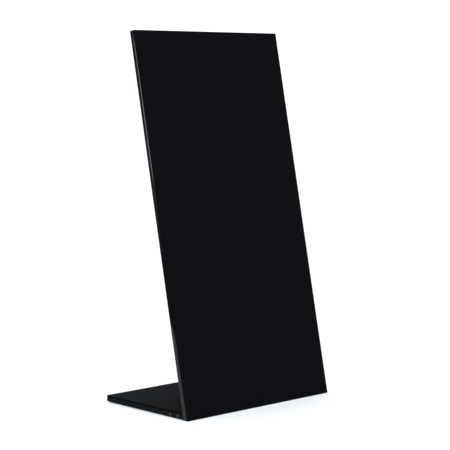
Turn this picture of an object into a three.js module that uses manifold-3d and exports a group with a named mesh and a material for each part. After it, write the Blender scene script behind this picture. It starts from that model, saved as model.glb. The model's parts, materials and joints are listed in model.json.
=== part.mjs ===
// Slant-back display board: a tall black panel leans back over a flat base plate of its own width.
// Both are boards of one build: a core, a thin sheet on its show face, and edging round its edges.
// Two steel angle plates are let into the boards near the sides, and screws from the sides hold them.
//
// Millimetres. +X runs across the width, the panel's face looks towards -Y, and +Z is up.
// The origin is on the floor, at the middle of the footprint.

import * as THREE from "three";
import { mergeVertices } from "three/addons/utils/BufferGeometryUtils.js";
import Module from "manifold-3d";

const wasm = await Module();
wasm.setup();

// ---------------------------------------------------------------- driving dimensions

const WIDTH = 600; //          panel and base, side to side
const PANEL_LENGTH = 1200; //  panel's face, floor to top edge, along its slope
const BASE_DEPTH = 400; //     footprint, foot of the panel's face to rear edge of the base
const LEAN_DEG = 11; //        panel, back from upright

const CORE = 16; //            core board of panel and of base
const SHEET = 3; //            black sheet on the panel's front and on the base's top
const EDGING = 2; //           edging strip glued to a core's edge
const GLUE = 0.3; //           glue line, and the play round what is let into a board
const PAD_HEIGHT = 3; //       rubber pad, the base's clearance over the floor
const PAD_RADIUS = 14;
const PAD_CHAMFER = 0.6;
const PAD_INSET = 45; //       pad's centre in from the base's side and from its rear edge

const PLATE_THICKNESS = 6; //  angle plate, across the width
const PLATE_LEG = 12; //       width of each of its legs
const PLATE_INSET = 30; //     its middle, in from the board's side edge
const PLATE_END = 14; //       from its last screw to the centre of its round end

const PANEL_SCREW_LOW = 38; //   heights of the two screws in the panel's edge
const PANEL_SCREW_HIGH = 85;
const BASE_SCREW_FRONT = 26; //  distances of the two screws in the base's edge behind the panel
const BASE_SCREW_REAR = 62;

const SCREW_RADIUS = 3; //     M6 countersunk socket screw
const SCREW_HEAD_RADIUS = 6;
const SCREW_RIM = 0.5; //      straight rim of its head
const SCREW_LENGTH = 36;
const SCREW_POINT = 0.8; //    chamfer at its end
const SOCKET_ACROSS = 4; //    hexagon socket, across its flats
const SOCKET_DEPTH = 2.6;

const DOWEL_RADIUS = 4;
const DOWEL_LENGTH = 36;
const DOWEL_IN_PANEL = 11; //  length of a dowel that is in the panel
const DOWEL_CHAMFER = 1;
const DOWEL_COUNT = 4;
const DOWEL_SPACING = 120;

const ROUND_STEPS = 24; //     sides of a round piece
const CLEAR = 20; //           how far a cutter runs out past the face it opens

// ---------------------------------------------------------------- worked-out sizes

const LEAN = THREE.MathUtils.degToRad(LEAN_DEG);
const HALF_WIDTH = WIDTH / 2;
const CORE_HALF = HALF_WIDTH - EDGING - GLUE; //  half the width of a core
const CORE_FRONT = SHEET + GLUE; //               panel: depth of the core's front behind the face
const BOARD = CORE_FRONT + CORE; //               whole thickness of a board
const FRONT_Y = -BASE_DEPTH / 2;
const REAR_Y = BASE_DEPTH / 2;

const BASE_BOTTOM = PAD_HEIGHT;
const BASE_CORE_TOP = BASE_BOTTOM + CORE;
const BASE_SHEET_BOTTOM = BASE_CORE_TOP + GLUE;
const BASE_TOP = BASE_SHEET_BOTTOM + SHEET;

const PANEL_MIDDLE = CORE_FRONT + CORE / 2; //    depth of the panel core's middle behind the face
const BASE_MIDDLE = BASE_BOTTOM + CORE / 2; //    height of the base core's middle

// Panel frame: y is the depth behind the face, z runs up the slope, and both start at the face's foot.
// Height z in the panel frame where the point at this depth stands at this height over the floor.
const slopeAt = (depth, height) => depth * Math.tan(LEAN) + height / Math.cos(LEAN);

// World y, at this height over the floor, of the plane this deep behind the panel's face.
const behindFace = (depth, height) => FRONT_Y + depth / Math.cos(LEAN) + height * Math.tan(LEAN);

const panelFrame = new THREE.Matrix4().makeRotationX(-LEAN).setPosition(0, FRONT_Y, 0);
const worldToPanel = panelFrame.clone().invert();

const basePanelGap = (height) => behindFace(BOARD + GLUE, height); //  front edge of the base

// ---------------------------------------------------------------- shape helpers

// A bar: a shape drawn in (y, z), pulled along X from one x to another.
function bar(shape, xFrom, xTo) {
  const settings = { depth: xTo - xFrom, bevelEnabled: false, curveSegments: ROUND_STEPS / 2 };
  const alongX = new THREE.Matrix4().makeBasis(
    new THREE.Vector3(0, 1, 0),
    new THREE.Vector3(0, 0, 1),
    new THREE.Vector3(1, 0, 0),
  );
  return new THREE.ExtrudeGeometry(shape, settings).applyMatrix4(alongX).translate(xFrom, 0, 0);
}

function polygon(...points) {
  return new THREE.Shape(points.map(([y, z]) => new THREE.Vector2(y, z)));
}

// Strip of the panel, in its frame: from one depth to another, from a height over the floor, where it
// is cut level, up to the slope length zTo, where it is cut square.
function panelStrip(depthFrom, depthTo, heightFrom, zTo, xFrom, xTo) {
  const outline = polygon(
    [depthFrom, slopeAt(depthFrom, heightFrom)],
    [depthTo, slopeAt(depthTo, heightFrom)],
    [depthTo, zTo],
    [depthFrom, zTo],
  );
  return bar(outline, xFrom, xTo);
}

// Strip of the base: its front edge follows the panel's slope, its rear edge is square.
function baseStrip(zFrom, zTo, yRear, xFrom, xTo) {
  const outline = polygon(
    [basePanelGap(zFrom), zFrom],
    [yRear, zFrom],
    [yRear, zTo],
    [basePanelGap(zTo), zTo],
  );
  return bar(outline, xFrom, xTo);
}

// From one x to another: the edging strip on a side.
function edgingSpan(side) {
  const inner = side * (HALF_WIDTH - EDGING);
  const outer = side * HALF_WIDTH;
  return [Math.min(inner, outer), Math.max(inner, outer)];
}

// A turned piece about the X axis: [x, radius] points from its low-x end to its high-x end.
function turned(profile) {
  const points = profile.map(([x, radius]) => new THREE.Vector2(radius, x));
  return new THREE.LatheGeometry(points, ROUND_STEPS).rotateZ(-Math.PI / 2);
}

function toSolid(geometry) {
  const bare = geometry.clone();
  bare.deleteAttribute("normal");
  bare.deleteAttribute("uv");
  const merged = mergeVertices(bare);
  return new wasm.Manifold(
    new wasm.Mesh({
      numProp: 3,
      vertProperties: new Float32Array(merged.attributes.position.array),
      triVerts: new Uint32Array(merged.index.array),
    }),
  );
}

function toGeometry(solid) {
  const mesh = solid.getMesh();
  const geometry = new THREE.BufferGeometry();
  geometry.setAttribute("position", new THREE.BufferAttribute(mesh.vertProperties, mesh.numProp));
  geometry.setIndex(new THREE.BufferAttribute(mesh.triVerts, 1));
  geometry.computeVertexNormals();
  return geometry;
}

function cut(geometry, cutters) {
  let solid = toSolid(geometry);
  for (const cutter of cutters) {
    solid = solid.subtract(toSolid(cutter));
  }
  return toGeometry(solid);
}

// ---------------------------------------------------------------- finishes

const FINISHES = {
  writingSheet: { color: 0x111216, roughness: 0.6, metalness: 0 },
  baseSheet: { color: 0x25282b, roughness: 0.75, metalness: 0 },
  board: { color: 0x17181a, roughness: 0.8, metalness: 0 },
  glossEdging: { color: 0x34363a, roughness: 0.3, metalness: 0 },
  satinEdging: { color: 0x1b1e21, roughness: 0.55, metalness: 0 },
  darkSteel: { color: 0x55565a, roughness: 0.45, metalness: 0.8 },
  plateSteel: { color: 0x8a8c8f, roughness: 0.4, metalness: 1 },
  beech: { color: 0xc9a878, roughness: 0.7, metalness: 0 },
  rubber: { color: 0x202020, roughness: 0.9, metalness: 0 },
};

function piece(name, geometry, finish) {
  const mesh = new THREE.Mesh(geometry, new THREE.MeshStandardMaterial(FINISHES[finish]));
  mesh.name = name;
  return mesh;
}

// ---------------------------------------------------------------- corner hardware

// World y and z of a screw: in the middle of the panel's core, or of the base's core.
const inPanel = (height) => ({ y: behindFace(PANEL_MIDDLE, height), z: height });
const inBase = (distance) => ({ y: behindFace(BOARD, BASE_MIDDLE) + distance, z: BASE_MIDDLE });

const screws = {
  panel_low: inPanel(PANEL_SCREW_LOW),
  panel_high: inPanel(PANEL_SCREW_HIGH),
  base_front: inBase(BASE_SCREW_FRONT),
  base_rear: inBase(BASE_SCREW_REAR),
};

// Centres of the plate's two round ends.
const panelLegEnd = {
  y: screws.panel_high.y + PLATE_END * Math.sin(LEAN),
  z: screws.panel_high.z + PLATE_END * Math.cos(LEAN),
};
const baseLegEnd = { y: screws.base_rear.y + PLATE_END, z: BASE_MIDDLE };

// From one x to another: a side's angle plate, with this much play on each face.
function plateSpan(side, play) {
  const middle = side * (HALF_WIDTH - PLATE_INSET);
  const half = PLATE_THICKNESS / 2 + play;
  return [middle - half, middle + half];
}

// One leg lies up the middle of the panel and one back along the middle of the base.
function anglePlate(side) {
  const half = PLATE_LEG / 2;
  const low = BASE_MIDDLE - half;
  const high = BASE_MIDDLE + half;
  const shape = new THREE.Shape();
  shape.moveTo(behindFace(PANEL_MIDDLE - half, low), low);
  shape.lineTo(baseLegEnd.y, low);
  shape.absarc(baseLegEnd.y, baseLegEnd.z, half, -Math.PI / 2, Math.PI / 2, false);
  shape.lineTo(behindFace(PANEL_MIDDLE + half, high), high);
  shape.absarc(panelLegEnd.y, panelLegEnd.z, half, -LEAN, Math.PI - LEAN, false);
  for (const centre of Object.values(screws)) {
    const hole = new THREE.Path();
    hole.absarc(centre.y, centre.z, SCREW_RADIUS + GLUE, 0, 2 * Math.PI, true);
    shape.holes.push(hole);
  }
  return bar(shape, ...plateSpan(side, 0));
}

// Screw along X with its head's face at x = 0, looking towards +X.
function screwBody() {
  const cone = SCREW_HEAD_RADIUS - SCREW_RADIUS;
  const body = turned([
    [-SCREW_LENGTH, 0],
    [-SCREW_LENGTH, SCREW_RADIUS - SCREW_POINT],
    [-SCREW_LENGTH + SCREW_POINT, SCREW_RADIUS],
    [-SCREW_RIM - cone, SCREW_RADIUS],
    [-SCREW_RIM, SCREW_HEAD_RADIUS],
    [0, SCREW_HEAD_RADIUS],
    [0, 0],
  ]);
  const socketRadius = SOCKET_ACROSS / 2 / Math.cos(Math.PI / 6);
  const socket = new THREE.CylinderGeometry(socketRadius, socketRadius, 2 * SOCKET_DEPTH, 6);
  return cut(body, [socket.rotateZ(Math.PI / 2)]);
}

// Hole that a screw goes into: its shape with the play all round, open at the side of the board.
function screwHole() {
  const cone = SCREW_HEAD_RADIUS - SCREW_RADIUS;
  return turned([
    [-SCREW_LENGTH - GLUE, 0],
    [-SCREW_LENGTH - GLUE, SCREW_RADIUS + GLUE],
    [-SCREW_RIM - cone - GLUE, SCREW_RADIUS + GLUE],
    [-SCREW_RIM - GLUE, SCREW_HEAD_RADIUS + GLUE],
    [CLEAR, SCREW_HEAD_RADIUS + GLUE],
    [CLEAR, 0],
  ]);
}

// A piece made for the right side, moved to its place on the side given by 1 or -1.
function atSide(geometry, side, centre) {
  const placed = geometry.clone();
  if (side < 0) {
    placed.rotateZ(Math.PI);
  }
  return placed.translate(side * HALF_WIDTH, centre.y, centre.z);
}

const SIDES = { left: -1, right: 1 };

function screwHoles(side, names) {
  return names.map((name) => atSide(screwHole(), side, screws[name]));
}

const panelScrewHoles = (side) =>
  screwHoles(side, ["panel_low", "panel_high"]).map((hole) => hole.applyMatrix4(worldToPanel));
const baseScrewHoles = (side) => screwHoles(side, ["base_front", "base_rear"]);

// Pocket for a plate's leg in the panel: milled from the core's front, and from its foot upwards.
function panelPocket(side) {
  const depth = PANEL_MIDDLE + PLATE_LEG / 2 + GLUE;
  const top = slopeAt(PANEL_MIDDLE, panelLegEnd.z) + PLATE_LEG / 2 + GLUE;
  return panelStrip(CORE_FRONT - CLEAR, depth, -CLEAR, top, ...plateSpan(side, GLUE));
}

// Slot through the back of the panel's core, where the plate passes on into the base.
function panelSlot(side) {
  const halfZ = PLATE_LEG / 2 + GLUE;
  const low = BASE_MIDDLE - halfZ;
  const high = BASE_MIDDLE + halfZ;
  const front = behindFace(PANEL_MIDDLE, low);
  const back = behindFace(BOARD, high) + CLEAR;
  const outline = polygon([front, low], [back, low], [back, high], [front, high]);
  return bar(outline, ...plateSpan(side, GLUE)).applyMatrix4(worldToPanel);
}

// Pocket for a plate's leg in the base: milled from the core's top, and from its front edge backwards.
function basePocket(side) {
  const low = BASE_MIDDLE - PLATE_LEG / 2 - GLUE;
  const high = BASE_CORE_TOP + CLEAR;
  const back = baseLegEnd.y + PLATE_LEG / 2 + GLUE;
  const outline = polygon([FRONT_Y, low], [back, low], [back, high], [FRONT_Y, high]);
  return bar(outline, ...plateSpan(side, GLUE));
}

// ---------------------------------------------------------------- dowels of the butt joint

const dowelFront = behindFace(BOARD, BASE_MIDDLE) - DOWEL_IN_PANEL;

function dowelX(index) {
  return (index - (DOWEL_COUNT - 1) / 2) * DOWEL_SPACING;
}

function alongY(geometry, index) {
  return geometry.rotateZ(Math.PI / 2).translate(dowelX(index), dowelFront, BASE_MIDDLE);
}

function dowel(index) {
  const profile = [
    [0, 0],
    [0, DOWEL_RADIUS - DOWEL_CHAMFER],
    [DOWEL_CHAMFER, DOWEL_RADIUS],
    [DOWEL_LENGTH - DOWEL_CHAMFER, DOWEL_RADIUS],
    [DOWEL_LENGTH, DOWEL_RADIUS - DOWEL_CHAMFER],
    [DOWEL_LENGTH, 0],
  ];
  return alongY(turned(profile), index);
}

function dowelHole(index) {
  const radius = DOWEL_RADIUS + GLUE;
  const profile = [
    [-GLUE, 0],
    [-GLUE, radius],
    [DOWEL_LENGTH + GLUE, radius],
    [DOWEL_LENGTH + GLUE, 0],
  ];
  return alongY(turned(profile), index);
}

const dowelIndexes = Array.from({ length: DOWEL_COUNT }, (_, index) => index);

// ---------------------------------------------------------------- panel

function buildPanel() {
  const panel = new THREE.Group();
  panel.applyMatrix4(panelFrame);

  const coreTop = PANEL_LENGTH - EDGING - GLUE;
  const coreCutters = [
    ...Object.values(SIDES).flatMap((side) => [
      panelPocket(side),
      panelSlot(side),
      ...panelScrewHoles(side),
    ]),
    ...dowelIndexes.map((index) => dowelHole(index).applyMatrix4(worldToPanel)),
  ];
  const core = panelStrip(CORE_FRONT, BOARD, EDGING + GLUE, coreTop, -CORE_HALF, CORE_HALF);
  panel.add(piece("panel_core", cut(core, coreCutters), "board"));

  const face = panelStrip(0, SHEET, 0, PANEL_LENGTH, -HALF_WIDTH, HALF_WIDTH);
  panel.add(piece("panel_face_sheet", face, "writingSheet"));

  for (const [name, side] of Object.entries(SIDES)) {
    const strip = panelStrip(CORE_FRONT, BOARD, 0, PANEL_LENGTH, ...edgingSpan(side));
    panel.add(piece(`panel_edge_${name}`, cut(strip, panelScrewHoles(side)), "glossEdging"));
  }

  const top = polygon(
    [CORE_FRONT, PANEL_LENGTH - EDGING],
    [BOARD, PANEL_LENGTH - EDGING],
    [BOARD, PANEL_LENGTH],
    [CORE_FRONT, PANEL_LENGTH],
  );
  panel.add(piece("panel_edge_top", bar(top, -CORE_HALF, CORE_HALF), "glossEdging"));

  const foot = polygon(
    [CORE_FRONT, slopeAt(CORE_FRONT, 0)],
    [BOARD, slopeAt(BOARD, 0)],
    [BOARD, slopeAt(BOARD, EDGING)],
    [CORE_FRONT, slopeAt(CORE_FRONT, EDGING)],
  );
  panel.add(piece("panel_edge_foot", bar(foot, -CORE_HALF, CORE_HALF), "satinEdging"));
  return panel;
}

// ---------------------------------------------------------------- base

function buildBase() {
  const base = new THREE.Group();

  const coreCutters = [
    ...Object.values(SIDES).flatMap((side) => [basePocket(side), ...baseScrewHoles(side)]),
    ...dowelIndexes.map(dowelHole),
  ];
  const coreRear = REAR_Y - EDGING - GLUE;
  const core = baseStrip(BASE_BOTTOM, BASE_CORE_TOP, coreRear, -CORE_HALF, CORE_HALF);
  base.add(piece("base_core", cut(core, coreCutters), "board"));

  const sheet = baseStrip(BASE_SHEET_BOTTOM, BASE_TOP, REAR_Y, -HALF_WIDTH, HALF_WIDTH);
  base.add(piece("base_top_sheet", sheet, "baseSheet"));

  for (const [name, side] of Object.entries(SIDES)) {
    const strip = baseStrip(BASE_BOTTOM, BASE_CORE_TOP, REAR_Y, ...edgingSpan(side));
    base.add(piece(`base_edge_${name}`, cut(strip, baseScrewHoles(side)), "satinEdging"));
  }

  const rear = polygon(
    [REAR_Y - EDGING, BASE_BOTTOM],
    [REAR_Y, BASE_BOTTOM],
    [REAR_Y, BASE_CORE_TOP],
    [REAR_Y - EDGING, BASE_CORE_TOP],
  );
  base.add(piece("base_edge_rear", bar(rear, -CORE_HALF, CORE_HALF), "satinEdging"));
  return base;
}

// ---------------------------------------------------------------- fixings and pads

function buildFixings() {
  const fixings = new THREE.Group();
  for (const [name, side] of Object.entries(SIDES)) {
    fixings.add(piece(`angle_plate_${name}`, anglePlate(side), "plateSteel"));
    for (const [place, centre] of Object.entries(screws)) {
      const screw = atSide(screwBody(), side, centre);
      fixings.add(piece(`screw_${name}_${place}`, screw, "darkSteel"));
    }
  }
  for (const index of dowelIndexes) {
    fixings.add(piece(`dowel_${index + 1}`, dowel(index), "beech"));
  }
  return fixings;
}

// Round pad standing on the floor at the origin.
function padBody() {
  const points = [
    [0, 0],
    [PAD_RADIUS - PAD_CHAMFER, 0],
    [PAD_RADIUS, PAD_CHAMFER],
    [PAD_RADIUS, PAD_HEIGHT],
    [0, PAD_HEIGHT],
  ].map(([radius, height]) => new THREE.Vector2(radius, height));
  return new THREE.LatheGeometry(points, ROUND_STEPS).rotateX(Math.PI / 2);
}

function buildPads() {
  const pads = new THREE.Group();
  const rows = {
    front: basePanelGap(BASE_BOTTOM) + PAD_INSET,
    rear: REAR_Y - PAD_INSET,
  };
  for (const [row, y] of Object.entries(rows)) {
    for (const [name, side] of Object.entries(SIDES)) {
      const pad = piece(`pad_${row}_${name}`, padBody(), "rubber");
      pad.position.set(side * (HALF_WIDTH - PAD_INSET), y, 0);
      pads.add(pad);
    }
  }
  return pads;
}

// ---------------------------------------------------------------- the whole board

const displayBoard = new THREE.Group();
displayBoard.add(buildPanel(), buildBase(), buildFixings(), buildPads());

export default displayBoard;
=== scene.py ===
"""Looks of the slant-back display board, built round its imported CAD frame.

All lengths are metres, in the CAD's own frame.
"""
import json
import math

import bmesh
import bpy
from mathutils import Matrix, Vector


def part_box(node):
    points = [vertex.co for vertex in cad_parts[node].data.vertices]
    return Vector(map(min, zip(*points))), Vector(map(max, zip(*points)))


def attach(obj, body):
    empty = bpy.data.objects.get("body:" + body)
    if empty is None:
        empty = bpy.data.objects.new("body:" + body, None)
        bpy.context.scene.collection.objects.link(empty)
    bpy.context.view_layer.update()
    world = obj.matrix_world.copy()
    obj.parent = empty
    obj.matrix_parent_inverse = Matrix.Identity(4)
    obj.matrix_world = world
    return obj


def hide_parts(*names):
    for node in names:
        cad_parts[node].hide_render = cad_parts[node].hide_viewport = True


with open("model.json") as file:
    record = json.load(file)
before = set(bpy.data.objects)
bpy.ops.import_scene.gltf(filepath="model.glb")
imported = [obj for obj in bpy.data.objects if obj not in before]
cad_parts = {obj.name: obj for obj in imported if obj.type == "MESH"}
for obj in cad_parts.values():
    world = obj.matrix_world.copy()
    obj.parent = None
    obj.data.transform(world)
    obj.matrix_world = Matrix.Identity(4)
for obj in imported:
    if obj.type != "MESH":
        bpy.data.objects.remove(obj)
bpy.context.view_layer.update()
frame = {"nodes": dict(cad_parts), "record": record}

MM = 0.001

# ---------------------------------------------------------------- places, from the frame

mounts = {mount["name"]: mount for mount in frame["record"]["mounts"]}
FACE_NORMAL = Vector(mounts["writing_face"]["axis"]).normalized()
LEAN = math.atan2(FACE_NORMAL.z, -FACE_NORMAL.y)
UP = Vector((0, 0, 1))


# ---------------------------------------------------------------- camera, floor and light

CAMERA_PLACE = Vector((-3.052, -3.473, 0.971))
CAMERA_HEADING = math.radians(41.67)  # from straight on, towards the board's right
CAMERA_DOWN = math.radians(4.30)
CAMERA_ROLL = math.radians(-0.74)
CAMERA_LENS = 115.7  # mm, on a 36 mm sensor
CAMERA_DROP = -0.044  # lens shift, in frame widths: the camera looks down less than its frame does


def add_camera():
    data = bpy.data.cameras.new("camera")
    data.lens = CAMERA_LENS
    data.shift_y = CAMERA_DROP
    camera = bpy.data.objects.new("camera", data)
    bpy.context.scene.collection.objects.link(camera)
    turn = Matrix.Rotation(-CAMERA_HEADING, 4, "Z")
    tip = Matrix.Rotation(math.pi / 2 - CAMERA_DOWN, 4, "X")
    roll = Matrix.Rotation(CAMERA_ROLL, 4, "Z")
    camera.matrix_world = Matrix.Translation(CAMERA_PLACE) @ turn @ tip @ roll
    bpy.context.scene.camera = camera


def add_light(name, place, target, width, height, power, color):
    data = bpy.data.lights.new(name, "AREA")
    data.color = color
    data.shape = "RECTANGLE"
    data.size = width
    data.size_y = height
    data.energy = power
    light = bpy.data.objects.new(name, data)
    light.location = place
    light.rotation_euler = (Vector(place) - Vector(target)).to_track_quat("Z", "Y").to_euler()
    light.visible_camera = False
    bpy.context.scene.collection.objects.link(light)


DAYLIGHT = (0.80, 0.90, 1.0)
KEY_PLACE = (-2.6, -2.7, 2.6)
KEY_TARGET = (0, 0, 0.5)
KEY_SIZE = 1.2
KEY_POWER = 110
SOFTBOX_PLACE = (-3.44, 3.16, 0.98)
SOFTBOX_TARGET = (-0.3, 0, 0.98)
SOFTBOX_WIDTH = 1.6
SOFTBOX_HEIGHT = 0.84
SOFTBOX_POWER = 33

ROOM_LIGHT = 1.25  # bright enough for the floor's far end to be as white as the room behind it


def add_world():
    world = bpy.data.worlds.new("studio")
    world.use_nodes = True
    background = world.node_tree.nodes["Background"]
    background.inputs["Color"].default_value = (1.0, 1.0, 1.0, 1.0)
    background.inputs["Strength"].default_value = ROOM_LIGHT
    bpy.context.scene.world = world


# Painted reflection: a glowing card that no ray sees except glossy ones.
FLAG_PLACE = Vector((-1.30, 1.22, 0))
FLAG_LOW = 0.54  # height of its long low arm
FLAG_TALL = 1.70  # height of its tall arm, on the side away from the camera
FLAG_STEP = 0.185  # where the tall arm ends and the low one goes on, across the flag
FLAG_TOP_STEP = 0.09  # where the tall arm ends at its top
FLAG_REACH = 1.20  # how far it goes to either side
FLAG_HEADING = math.radians(218.4)
FLAG_FADE_START = 0.15  # height where the painted glow starts to brighten
FLAG_DARK = 0.01  # glow at that height
FLAG_LIGHT = 0.16  # glow at the top of the low arm


def flag_glow():
    """Painted light: a glow standing for a black cloth and the light on it, a little brighter towards the
    top of the low arm.
    """
    material = bpy.data.materials.new("flag_glow")
    material.use_nodes = True
    tree = material.node_tree
    tree.nodes.clear()
    place = tree.nodes.new("ShaderNodeTexCoord")
    height = tree.nodes.new("ShaderNodeSeparateXYZ")
    ramp = tree.nodes.new("ShaderNodeMapRange")
    ramp.inputs["From Min"].default_value = FLAG_FADE_START
    ramp.inputs["From Max"].default_value = FLAG_LOW
    ramp.inputs["To Min"].default_value = FLAG_DARK
    ramp.inputs["To Max"].default_value = FLAG_LIGHT
    glow = tree.nodes.new("ShaderNodeEmission")
    end = tree.nodes.new("ShaderNodeOutputMaterial")
    tree.links.new(place.outputs["Object"], height.inputs["Vector"])
    tree.links.new(height.outputs["Z"], ramp.inputs["Value"])
    tree.links.new(ramp.outputs["Result"], glow.inputs["Strength"])
    tree.links.new(glow.outputs["Emission"], end.inputs["Surface"])
    return material


def add_flag():
    """Studio flag behind the board on its left, lit only by its own painted glow. It is seen only as the
    dark stretch that the panel's glossy edging mirrors beside the softbox and between it and the white
    floor: a painted reflection."""
    outline = [
        (-FLAG_REACH, 0),
        (FLAG_REACH, 0),
        (FLAG_REACH, FLAG_LOW),
        (FLAG_STEP, FLAG_LOW),
        (FLAG_TOP_STEP, FLAG_TALL),
        (-FLAG_REACH, FLAG_TALL),
    ]
    shape = bmesh.new()
    shape.faces.new([shape.verts.new((x, 0, z)) for x, z in outline])
    mesh = bpy.data.meshes.new("flag")
    shape.to_mesh(mesh)
    shape.free()
    mesh.materials.append(flag_glow())
    flag = bpy.data.objects.new("flag", mesh)
    flag.location = FLAG_PLACE
    flag.rotation_euler = (0, 0, FLAG_HEADING)
    for kind in ("camera", "diffuse", "transmission", "volume_scatter", "shadow"):
        setattr(flag, "visible_" + kind, False)
    bpy.context.scene.collection.objects.link(flag)


FLOOR_HALF = 30.0


def add_floor():
    mesh = bpy.data.meshes.new("floor")
    shape = bmesh.new()
    bmesh.ops.create_grid(shape, x_segments=8, y_segments=8, size=FLOOR_HALF)
    shape.to_mesh(mesh)
    shape.free()
    floor = bpy.data.objects.new("floor", mesh)
    bpy.context.scene.collection.objects.link(floor)
    mesh.materials.append(floor_paint())


# ---------------------------------------------------------------- materials


class Surface:
    """One procedural material: a Principled shader, and short calls that add the nodes behind it."""

    def __init__(self, name, color, roughness, specular=0.5, metallic=0.0):
        self.material = bpy.data.materials.new(name)
        self.material.use_nodes = True
        self.tree = self.material.node_tree
        self.shader = self.tree.nodes["Principled BSDF"]
        self.shader.inputs["Base Color"].default_value = (*color, 1.0)
        self.shader.inputs["Roughness"].default_value = roughness
        self.shader.inputs["Specular IOR Level"].default_value = specular
        self.shader.inputs["Metallic"].default_value = metallic
        self.color = color
        self.roughness = roughness

    def add(self, kind, **values):
        node = self.tree.nodes.new(kind)
        for key, value in values.items():
            setattr(node, key, value)
        return node

    def link(self, source, target):
        self.tree.links.new(source, target)

    def coordinates(self, scale=(1, 1, 1), turn=0.0):
        """Object coordinates in metres, turned about X to lie along a leaning board, and stretched."""
        place = self.add("ShaderNodeTexCoord")
        turned = self.add("ShaderNodeMapping", vector_type="POINT")
        turned.inputs["Rotation"].default_value = (turn, 0, 0)
        self.link(place.outputs["Object"], turned.inputs["Vector"])
        stretched = self.add("ShaderNodeMapping", vector_type="POINT")
        stretched.inputs["Scale"].default_value = scale
        self.link(turned.outputs["Vector"], stretched.inputs["Vector"])
        return stretched.outputs["Vector"]

    def noise(self, coordinates, grains_per_metre, detail=3.0):
        node = self.add("ShaderNodeTexNoise")
        node.inputs["Scale"].default_value = grains_per_metre
        node.inputs["Detail"].default_value = detail
        self.link(coordinates, node.inputs["Vector"])
        return node.outputs["Fac"]

    def cells(self, coordinates, cells_per_metre):
        node = self.add("ShaderNodeTexVoronoi", feature="F1")
        node.inputs["Scale"].default_value = cells_per_metre
        self.link(coordinates, node.inputs["Vector"])
        return node.outputs["Distance"]

    def remap(self, value, low, high, start=0.3, end=0.7):
        """The value's stretch from start to end, spread over low to high."""
        node = self.add("ShaderNodeMapRange")
        node.inputs["From Min"].default_value = start
        node.inputs["From Max"].default_value = end
        node.inputs["To Min"].default_value = low
        node.inputs["To Max"].default_value = high
        self.link(value, node.inputs["Value"])
        return node.outputs["Result"]

    def tint(self, value, darker, lighter, start=0.3, end=0.7):
        """Base colour that runs from darker to lighter multiples of the material's colour."""
        ramp = self.add("ShaderNodeValToRGB")
        stops = zip(ramp.color_ramp.elements, (start, end), (darker, lighter))
        for element, position, factor in stops:
            element.position = position
            element.color = (*[channel * factor for channel in self.color], 1.0)
        self.link(value, ramp.inputs["Fac"])
        self.link(ramp.outputs["Color"], self.shader.inputs["Base Color"])
        return ramp.outputs["Color"]

    def across(self, coordinates, axis, start, end, noise, wander):
        """0 before start and 1 past end along an axis, in metres, with a border that wanders."""
        apart = self.add("ShaderNodeSeparateXYZ")
        self.link(coordinates, apart.inputs["Vector"])
        moved = self.add("ShaderNodeMath", operation="ADD")
        self.link(apart.outputs[axis], moved.inputs[0])
        self.link(self.remap(noise, -wander / 2, wander / 2), moved.inputs[1])
        return self.remap(moved.outputs["Value"], 0, 1, start, end)

    def shade(self, color, share, tone):
        """Base colour that is multiplied by the tone where share is 0, and unchanged where it is 1."""
        ramp = self.add("ShaderNodeValToRGB")
        stops = zip(ramp.color_ramp.elements, (0, 1), (tone, (1, 1, 1)))
        for element, position, shown in stops:
            element.position = position
            element.color = (*shown, 1.0)
        self.link(share, ramp.inputs["Fac"])
        mix = self.add("ShaderNodeMix", data_type="RGBA", blend_type="MULTIPLY")
        mix.inputs["Factor"].default_value = 1.0
        self.link(color, mix.inputs["A"])
        self.link(ramp.outputs["Color"], mix.inputs["B"])
        self.link(mix.outputs["Result"], self.shader.inputs["Base Color"])

    def vary_roughness(self, value, spread):
        low, high = self.roughness - spread, self.roughness + spread
        self.link(self.remap(value, low, high), self.shader.inputs["Roughness"])

    def bump(self, *layers):
        """Each layer is (height value, depth); later layers lie on earlier ones."""
        normal = None
        for height, depth in layers:
            node = self.add("ShaderNodeBump")
            node.inputs["Strength"].default_value = 1.0
            node.inputs["Distance"].default_value = depth
            self.link(height, node.inputs["Height"])
            if normal:
                self.link(normal, node.inputs["Normal"])
            normal = node.outputs["Normal"]
        self.link(normal, self.shader.inputs["Normal"])


def floor_paint():
    surface = Surface("floor_paint", (0.86, 0.86, 0.86), 0.7, specular=0.2)
    place = surface.coordinates()
    surface.tint(surface.noise(place, 3), 0.99, 1.0)
    return surface.material


def writing_laminate():
    """Front sheet: dead black, with an almost unseen fine tooth and faint wiping marks."""
    surface = Surface("writing_laminate", (0.00245, 0.0028, 0.0039), 0.6, specular=0.01)
    place = surface.coordinates(turn=LEAN)
    wiped = surface.coordinates(scale=(1, 1, 0.25), turn=LEAN)
    surface.tint(surface.noise(wiped, 14), 0.97, 1.03)
    surface.vary_roughness(surface.noise(wiped, 40), 0.04)
    surface.bump((surface.noise(place, 2500), 0.02 * MM))
    return surface.material


def sheet_edge_and_joint_shade():
    """Cut edge of a sheet, near black of its own and darker still as painted shade, and the edging's
    arrises and hole rims, all painted shade: the shadow line along the joints, darker than any face.
    """
    surface = Surface("cut_edge_and_joint_shade", (0.0008, 0.0010, 0.0012), 0.6, specular=0.005)
    place = surface.coordinates(turn=LEAN)
    surface.tint(surface.noise(place, 1200), 0.8, 1.25)
    surface.vary_roughness(surface.noise(place, 500), 0.08)
    surface.bump((surface.noise(place, 3000), 0.03 * MM))
    return surface.material


# Painted shade: close behind the panel the base's top is coloured darker and browner, standing for the
# shade that the panel casts on it.
PANEL_SHADE_START = 0.04  # from the front edge of the base's top sheet, where the painted shade of the panel is at full strength
PANEL_SHADE_END = 0.26  # and where nothing is left of it
PANEL_SHADE_WANDER = 0.10
PANEL_SHADE_TONE = (0.80, 0.67, 0.53)


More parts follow.
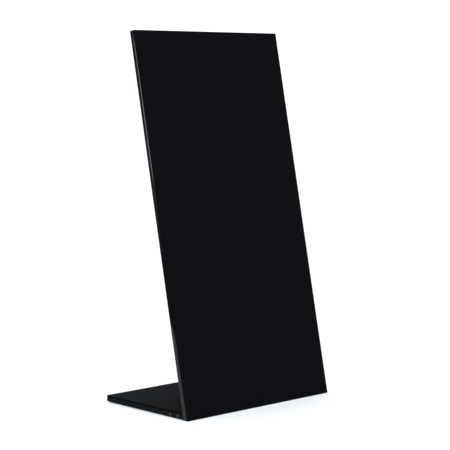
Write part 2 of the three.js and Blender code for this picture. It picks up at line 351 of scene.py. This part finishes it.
def base_laminate():
    """Top sheet of the base: a matt pebble grain, with painted shade that makes it a little browner and
    darker close behind the panel, where the panel keeps light off it."""
    surface = Surface("base_laminate", (0.0136, 0.0150, 0.0168), 0.95, specular=0.0)
    place = surface.coordinates()
    grain = surface.noise(place, 900, detail=5)
    mottled = surface.tint(surface.noise(place, 90, detail=6), 0.8, 1.22)
    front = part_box("base_top_sheet")[0].y
    start, end = front + PANEL_SHADE_START, front + PANEL_SHADE_END
    # painted shade of the panel: full tone near the front edge, fading out further back
    behind = surface.across(place, "Y", start, end, surface.noise(place, 14), PANEL_SHADE_WANDER)
    surface.shade(mottled, behind, PANEL_SHADE_TONE)
    surface.vary_roughness(surface.noise(place, 300), 0.06)
    surface.bump((surface.cells(place, 1100), 0.06 * MM), (grain, 0.04 * MM))
    return surface.material


def board_paint():
    """Fibreboard under matt black paint: the stipple that a roller leaves."""
    surface = Surface("board_paint", (0.0088, 0.0092, 0.0105), 0.68, specular=0.08)
    place = surface.coordinates(turn=LEAN)
    surface.tint(surface.noise(place, 6), 0.9, 1.12)
    surface.vary_roughness(surface.noise(place, 60), 0.06)
    surface.bump((surface.noise(place, 420, detail=2), 0.12 * MM), (surface.noise(place, 2200), 0.02 * MM))
    return surface.material


def edging(name, color, roughness, specular, turn):
    """Extruded edging strip: hair-fine lines along its length and a few dull patches."""
    surface = Surface(name, color, roughness, specular)
    surface.shader.inputs["Specular Tint"].default_value = (0.88, 0.94, 1.0, 1.0)
    drawn = surface.coordinates(scale=(1, 1, 0.02), turn=turn)
    place = surface.coordinates(turn=turn)
    surface.tint(surface.noise(drawn, 900), 0.92, 1.1)
    surface.vary_roughness(surface.noise(place, 30), 0.02)
    surface.bump((surface.noise(drawn, 1400), 0.01 * MM), (surface.noise(place, 150), 0.03 * MM))
    return surface.material


def steel(name, color, roughness, specular=0.5):
    surface = Surface(name, color, roughness, specular, metallic=1.0)
    place = surface.coordinates()
    surface.tint(surface.noise(place, 500), 0.85, 1.15)
    surface.vary_roughness(surface.noise(place, 1500), 0.08)
    surface.bump((surface.noise(place, 4000), 0.01 * MM))
    return surface.material


def beech():
    surface = Surface("beech_wood", (0.56, 0.38, 0.20), 0.6, specular=0.3)
    along = surface.coordinates(scale=(1, 0.06, 1))
    surface.tint(surface.noise(along, 1600, detail=4), 0.8, 1.12)
    surface.vary_roughness(surface.noise(along, 700), 0.06)
    surface.bump((surface.noise(along, 2600), 0.03 * MM))
    return surface.material


def rubber():
    surface = Surface("pad_rubber", (0.013, 0.013, 0.013), 0.8, specular=0.3)
    place = surface.coordinates()
    surface.tint(surface.noise(place, 250), 0.85, 1.3)
    surface.vary_roughness(surface.noise(place, 600), 0.06)
    surface.bump((surface.noise(place, 1800), 0.04 * MM))
    return surface.material


# ---------------------------------------------------------------- pieces from the frame's nodes

ARRIS_STEPS = 3
CORNER_STEPS = 6
CROWN_STRIPS = 10
FLAT = math.radians(1)
MERGED = 0.001 * MM  # corners closer than this become one
ARRIS_ANGLE = math.radians(30)
ROUNDED_ANGLE = math.radians(40)  # a rounded edge's own steps stay below it
FINE_ARRIS = 0.2 * MM
HOLE_STEP = 1.5 * MM  # longer than any edge round a screw hole


def finish_piece(piece, node):
    bpy.context.scene.collection.objects.link(piece)
    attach(piece, "root")
    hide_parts(node)


def crown(shape, outward, along, rise):
    """Crowns a strip, as extruded edging is: the middle of its outward side stays, and the two long
    sides of it, which run along the given direction, are set back by the rise."""
    across = outward.cross(along).normalized()
    places = [vert.co.dot(across) for vert in shape.verts]
    heights = [vert.co.dot(outward) for vert in shape.verts]
    middle = (max(places) + min(places)) / 2
    half = (max(places) - min(places)) / 2
    inner, outer = min(heights), max(heights)
    for step in range(1, CROWN_STRIPS):
        place = middle + half * (2 * step / CROWN_STRIPS - 1)
        whole = [*shape.verts, *shape.edges, *shape.faces]
        bmesh.ops.bisect_plane(shape, geom=whole, plane_co=across * place, plane_no=across)
    for vert in shape.verts:
        share = (vert.co.dot(outward) - inner) / (outer - inner)
        vert.co -= outward * rise * share * ((vert.co.dot(across) - middle) / half) ** 2
    bmesh.ops.dissolve_degenerate(shape, dist=MERGED, edges=shape.edges)
    shape.normal_update()


def round_corners(shape, radius):
    """Rounds the outline of a thin sheet: the short edges through its thickness."""
    thickness = min(edge.calc_length() for edge in shape.edges)
    short = [edge for edge in shape.edges if edge.calc_length() < 2 * thickness]
    bevel(shape, short, radius, -1, CORNER_STEPS)


def bevel(shape, edges, arris, material, steps=ARRIS_STEPS):
    """Rounds the edges. material is the new faces' index, or -1 for that of the faces beside them."""
    bmesh.ops.bevel(
        shape,
        geom=edges,
        offset=arris,
        segments=steps,
        profile=0.5,
        affect="EDGES",
        clamp_overlap=False,
        material=material,
    )
    shape.normal_update()


def hard_edges(shape, angle):
    return [edge for edge in shape.edges if edge.calc_face_angle() > angle]


def ease_strip(shape, outward, arris, material):
    """Rounds a strip's outline by the arris where it shows, and its holes and inner side only finely."""
    inner = min(vert.co.dot(outward) for vert in shape.verts) + 0.1 * FINE_ARRIS
    outline = [
        edge
        for edge in hard_edges(shape, ARRIS_ANGLE)
        if edge.calc_length() > HOLE_STEP and any(vert.co.dot(outward) > inner for vert in edge.verts)
    ]
    bevel(shape, outline, arris, material)
    bevel(shape, hard_edges(shape, ROUNDED_ANGLE), FINE_ARRIS, material)


def flat_normals(shape, rounded):
    """For each vertex, the normal that keeps the faces beside the rounded edges flat. rounded is the
    material index of the faces that make up those edges."""
    normals = []
    for vert in shape.verts:
        flat = [face for face in vert.link_faces if face.material_index != rounded]
        total = Vector()
        for face in flat or vert.link_faces:
            total += face.normal * face.calc_area()
        normals.append(total.normalized())
    return normals


def eased(node, materials, arris, corner=0.0, pick=None, crowned=None):
    """A node's own solid with its edges eased.

    materials holds the faces' materials and, last, that of the eased edges. pick(normal) gives a face
    its material's index. corner rounds the outline of a thin sheet. crowned is the outward and the
    long direction of a strip, whose outward side bulges a little.
    """
    shape = bmesh.new()
    shape.from_mesh(frame["nodes"][node].data)
    bmesh.ops.remove_doubles(shape, verts=shape.verts, dist=MERGED)
    bmesh.ops.dissolve_limit(shape, angle_limit=FLAT, verts=shape.verts, edges=shape.edges)
    shape.normal_update()
    if corner:
        round_corners(shape, corner)
    for face in shape.faces:
        face.material_index = pick(face.normal) if pick else 0
    rounded = len(materials) - 1
    if crowned:
        ease_strip(shape, crowned[0], arris, rounded)
        crown(shape, *crowned, CROWN_RISE)
    else:
        bevel(shape, hard_edges(shape, ARRIS_ANGLE), arris, rounded)
    normals = flat_normals(shape, rounded)
    for face in shape.faces:
        face.smooth = True
    mesh = bpy.data.meshes.new(node + "_eased")
    shape.to_mesh(mesh)
    shape.free()
    mesh.normals_split_custom_set_from_vertices(normals)
    for material in materials:
        mesh.materials.append(material)
    piece = bpy.data.objects.new(node + "_piece", mesh)
    finish_piece(piece, node)
    return piece


# ---------------------------------------------------------------- turned pieces

TURNED_SIDES = 48
TURNED_SHARP = math.radians(35)


def turned(name, rings):
    """A closed piece about its own X axis. rings are (x, radius at an angle), end to end; the two ends
    close in a point on the axis."""
    shape = bmesh.new()
    angles = [2 * math.pi * index / TURNED_SIDES for index in range(TURNED_SIDES)]
    loops = []
    for x, radius_at in rings:
        loop = []
        for angle in angles:
            radius = radius_at(angle)
            loop.append(shape.verts.new((x, radius * math.cos(angle), radius * math.sin(angle))))
        loops.append(loop)
    for low, high in zip(loops, loops[1:]):
        for index in range(TURNED_SIDES):
            after = (index + 1) % TURNED_SIDES
            shape.faces.new((low[index], low[after], high[after], high[index]))
    for loop in (loops[0], loops[-1]):
        centre = shape.verts.new((loop[0].co.x, 0, 0))
        for index in range(TURNED_SIDES):
            shape.faces.new((loop[index], loop[(index + 1) % TURNED_SIDES], centre))
    bmesh.ops.recalc_face_normals(shape, faces=shape.faces)
    for face in shape.faces:
        face.smooth = True
    mesh = bpy.data.meshes.new(name)
    shape.to_mesh(mesh)
    shape.free()
    mesh.set_sharp_from_angle(angle=TURNED_SHARP)
    return mesh


def circle(radius):
    return lambda angle: radius


def hexagon(across_flats):
    def radius_at(angle):
        return across_flats / 2 / math.cos(angle % (math.pi / 3) - math.pi / 6)

    return radius_at


HEAD_RADIUS = 6 * MM
SHANK_RADIUS = 3 * MM
SCREW_RIM = 0.5 * MM
RIM_EASE = 0.25 * MM
SCREW_LENGTH = 36 * MM
SOCKET_ACROSS = 4 * MM
SOCKET_MOUTH = 2.75 * MM  # radius of its chamfer at the head's face
SOCKET_CHAMFER = 0.4 * MM
SOCKET_DEPTH = 2.6 * MM
SOCKET_POINT = 0.6 * MM  # depth of the drill's cone below the socket
SOCKET_TIP = 0.1 * MM  # radius where that cone ends
THREAD_PITCH = 1 * MM
THREAD_DEPTH = 0.35 * MM
THREAD_RINGS = 6  # rings to one pitch
END_CHAMFER = 0.8 * MM


def thread(x):
    """Radius round a screw's thread where it is x from the head's face."""
    def radius_at(angle):
        turn = (x / THREAD_PITCH + angle / (2 * math.pi)) % 1
        return SHANK_RADIUS - THREAD_DEPTH * abs(2 * turn - 1)

    return radius_at


def screw_mesh():
    """Countersunk hexagon-socket screw, head's face at x = 0, shank towards +x."""
    cone_end = SCREW_RIM + HEAD_RADIUS - SHANK_RADIUS
    rings = [
        (SOCKET_DEPTH + SOCKET_POINT, circle(SOCKET_TIP)),
        (SOCKET_DEPTH, hexagon(SOCKET_ACROSS)),
        (SOCKET_CHAMFER, hexagon(SOCKET_ACROSS)),
        (0, circle(SOCKET_MOUTH)),
        (0, circle(HEAD_RADIUS - RIM_EASE)),
        (RIM_EASE, circle(HEAD_RADIUS)),
        (SCREW_RIM, circle(HEAD_RADIUS)),
        (cone_end, circle(SHANK_RADIUS)),
    ]
    step = THREAD_PITCH / THREAD_RINGS
    start = cone_end + THREAD_PITCH
    count = int((SCREW_LENGTH - THREAD_PITCH - start) / step)
    rings += [(start + index * step, thread(start + index * step)) for index in range(count)]
    rings += [(SCREW_LENGTH, circle(SHANK_RADIUS - END_CHAMFER))]
    return turned("screw", rings)


def add_screws(material):
    mesh = screw_mesh()
    mesh.materials.append(material)
    for node in sorted(frame["nodes"]):
        if not node.startswith("screw_"):
            continue
        low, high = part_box(node)
        middle = (low + high) / 2
        on_left = middle.x < 0
        piece = bpy.data.objects.new(node + "_piece", mesh)
        piece.location = (low.x if on_left else high.x, middle.y, middle.z)
        piece.rotation_euler = (0, 0, 0 if on_left else math.pi)
        finish_piece(piece, node)


DOWEL_CHAMFER = 1 * MM
DOWEL_FLUTES = 12
FLUTE_DEPTH = 0.25 * MM


def fluted(radius):
    return lambda angle: radius - FLUTE_DEPTH * (0.5 + 0.5 * math.cos(DOWEL_FLUTES * angle))


def add_dowels(material):
    low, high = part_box("dowel_1")
    length = high.y - low.y
    radius = (high.z - low.z) / 2
    mesh = turned(
        "dowel",
        [
            (0, circle(radius - DOWEL_CHAMFER)),
            (DOWEL_CHAMFER, circle(radius - FLUTE_DEPTH)),
            (2 * DOWEL_CHAMFER, fluted(radius)),
            (length - 2 * DOWEL_CHAMFER, fluted(radius)),
            (length - DOWEL_CHAMFER, circle(radius - FLUTE_DEPTH)),
            (length, circle(radius - DOWEL_CHAMFER)),
        ],
    )
    mesh.materials.append(material)
    for node in sorted(frame["nodes"]):
        if node.startswith("dowel_"):
            low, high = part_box(node)
            piece = bpy.data.objects.new(node + "_piece", mesh)
            piece.location = ((low.x + high.x) / 2, low.y, (low.z + high.z) / 2)
            piece.rotation_euler = (0, 0, math.pi / 2)
            finish_piece(piece, node)


PAD_RIBS = 3
PAD_CENTRE = 0.12  # this and the next three are shares of the pad's radius
RIB_START = 0.25
RIB_SPACING = 0.2
RIB_SHARES = (0.0, 0.03, 0.08, 0.11)
RIB_DEPTH = 0.4 * MM
PAD_ROUNDING = ((0.9 * MM, 0), (0.3 * MM, 0.25 * MM), (0, 0.9 * MM))  # (in from the rim, up)


def add_pads(material):
    low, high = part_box("pad_rear_left")
    height = high.z - low.z
    radius = (high.x - low.x) / 2
    rings = [(0, circle(radius * PAD_CENTRE))]
    for rib in range(PAD_RIBS):
        inner = radius * (RIB_START + RIB_SPACING * rib)
        for share, depth in zip(RIB_SHARES, (0, RIB_DEPTH, RIB_DEPTH, 0)):
            rings.append((depth, circle(inner + share * radius)))
    rings += [(up, circle(radius - inward)) for inward, up in PAD_ROUNDING]
    rings.append((height, circle(radius)))
    mesh = turned("pad", rings)
    mesh.materials.append(material)
    for node in sorted(frame["nodes"]):
        if node.startswith("pad_"):
            low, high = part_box(node)
            piece = bpy.data.objects.new(node + "_piece", mesh)
            piece.location = ((low.x + high.x) / 2, (low.y + high.y) / 2, low.z)
            piece.rotation_euler = (0, -math.pi / 2, 0)
            finish_piece(piece, node)


# ---------------------------------------------------------------- boards

SHEET_ARRIS = 0.4 * MM
SHEET_CORNER = 2 * MM
EDGING_ARRIS = 0.5 * MM
# wide, so the painted shade on the base edging's arrises gives a wider dark line along the joint
BASE_ARRIS = 0.9 * MM
CROWN_RISE = 0.35 * MM
CORE_ARRIS = 0.3 * MM
PLATE_ARRIS = 0.4 * MM


def add_boards():
    paint = board_paint()
    for node in ("panel_core", "base_core"):
        eased(node, [paint, paint], CORE_ARRIS)

    # painted shade: the sheets' cut edges, the top sheet's arrises and every edging's arrises and hole
    # rims take this near-black material, for the shadow line along the joints
    dark_edge = sheet_edge_and_joint_shade()
    front = writing_laminate()
    eased(
        "panel_face_sheet",
        [front, dark_edge, front],
        SHEET_ARRIS,
        SHEET_CORNER,
        pick=lambda normal: 0 if abs(normal.dot(FACE_NORMAL)) > 0.99 else 1,
    )
    grained = base_laminate()
    eased(
        "base_top_sheet",
        [grained, dark_edge, dark_edge],
        SHEET_ARRIS,
        SHEET_CORNER,
        pick=lambda normal: 0 if abs(normal.dot(UP)) > 0.99 else 1,
    )

    gloss = edging("gloss_edging", (0.0030, 0.0036, 0.0042), 0.08, 0.205, LEAN)
    satin = edging("satin_edging", (0.0044, 0.0059, 0.0066), 0.5, 0.015, 0)
    left, right, back = Vector((-1, 0, 0)), Vector((1, 0, 0)), Vector((0, 1, 0))
    slope = UP * math.cos(LEAN) + back * math.sin(LEAN)
    strips = {
        "panel_edge_left": ("gloss_edging", [gloss, dark_edge], (left, slope)),
        "panel_edge_right": ("gloss_edging", [gloss, dark_edge], (right, slope)),
        "panel_edge_top": ("gloss_edging", [gloss, dark_edge], (slope, right)),
        "panel_edge_foot": ("satin_edging", [satin, satin], None),
        "base_edge_left": ("satin_edging", [satin, dark_edge], (left, back)),
        "base_edge_right": ("satin_edging", [satin, dark_edge], (right, back)),
        "base_edge_rear": ("satin_edging", [satin, dark_edge], (back, right)),
    }
    for node, (slot, materials, crowned) in strips.items():
        arris = EDGING_ARRIS if slot == "gloss_edging" else BASE_ARRIS
        eased(node, materials, arris, crowned=crowned)


def add_plates():
    rolled = steel("rolled_steel", (0.45, 0.46, 0.47), 0.4)
    for side in ("left", "right"):
        eased("angle_plate_" + side, [rolled, rolled], PLATE_ARRIS)


# ---------------------------------------------------------------- the whole scene

bpy.context.scene.view_settings.view_transform = "Standard"
add_camera()
add_world()
add_floor()
add_flag()
add_light("key", KEY_PLACE, KEY_TARGET, KEY_SIZE, KEY_SIZE, KEY_POWER, DAYLIGHT)
add_light(
    "softbox", SOFTBOX_PLACE, SOFTBOX_TARGET, SOFTBOX_WIDTH, SOFTBOX_HEIGHT, SOFTBOX_POWER, DAYLIGHT
)
add_boards()
add_plates()
add_screws(steel("dark_steel", (0.038, 0.037, 0.037), 0.4))
add_dowels(beech())
add_pads(rubber())
